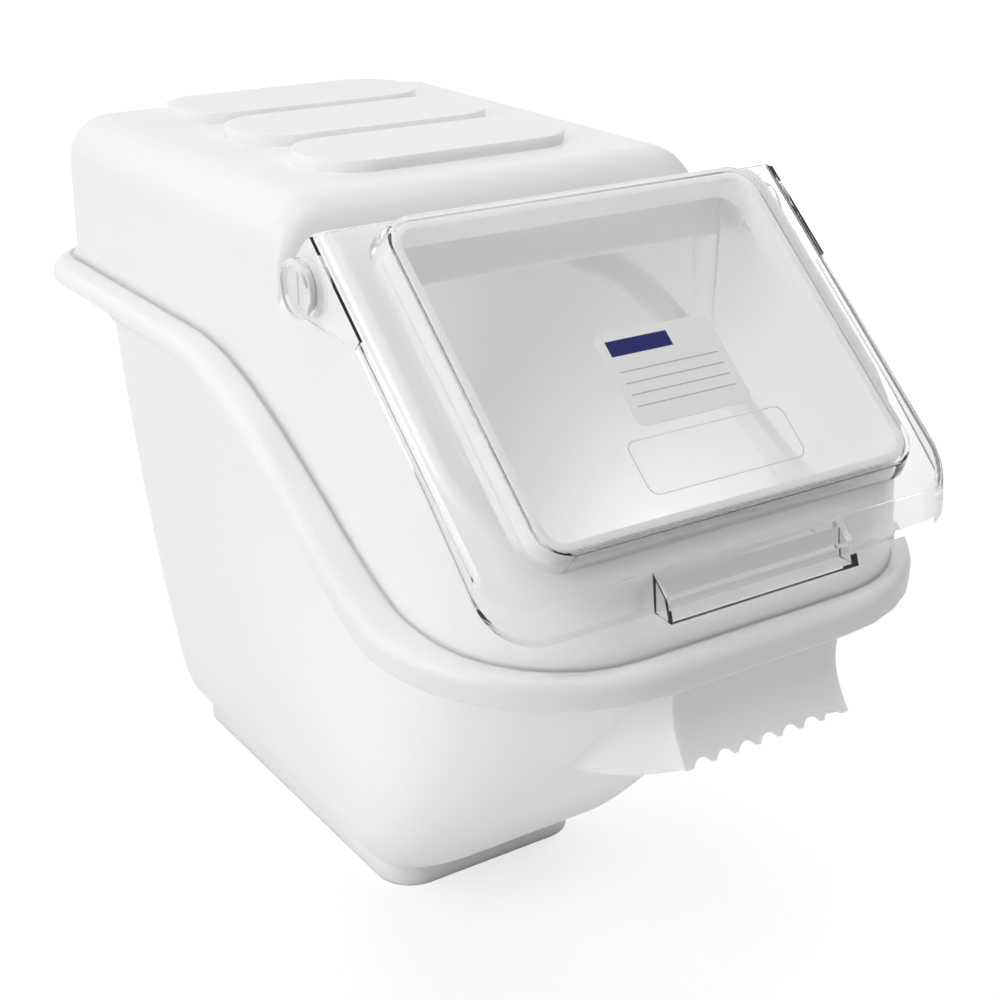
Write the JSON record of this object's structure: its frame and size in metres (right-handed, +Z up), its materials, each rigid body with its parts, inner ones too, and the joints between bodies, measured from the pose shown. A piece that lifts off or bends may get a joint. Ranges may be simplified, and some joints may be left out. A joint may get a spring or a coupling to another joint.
{
  "type": "rice bin with flip lid",
  "caption": "Shelf ingredient bin: a tapered white tub with a front hand grip, a white hood with raised roof pads, and a clear flip lid over its sloping mouth.",
  "frame": {"origin": "on the floor, at the middle of the bin's bounding box seen from above", "axes": "+X to the bin's right, -Y to its front where the lid and the hand grip are, +Z up"},
  "size_m": [0.306, 0.527, 0.43],
  "materials": {
    "tub_plastic": "moulded white plastic with a soft satin sheen",
    "hood_plastic": "moulded white plastic with a soft satin sheen",
    "clear_plastic": "clear polished plastic",
    "pin_plastic": "moulded white plastic",
    "label_paper": null
  },
  "bodies": {
    "tub": {"tub": "tub_plastic"},
    "hood": {"hood": "hood_plastic", "hinge_pin_left": "pin_plastic", "hinge_pin_right": "pin_plastic"},
    "lid": {"lid": "clear_plastic", "label": "label_paper"}
  },
  "joints": [
    {"name": "hood_lift", "type": "slide", "parent": "tub", "child": "hood", "axis": [0, 0, 1], "range_m": [0, 0.2]},
    {"name": "lid_hinge", "type": "hinge", "parent": "hood", "child": "lid", "pos_m": [0, -0.08091, 0.39376], "axis": [-1, 0, 0], "range_deg": [0, 134]}
  ]
}
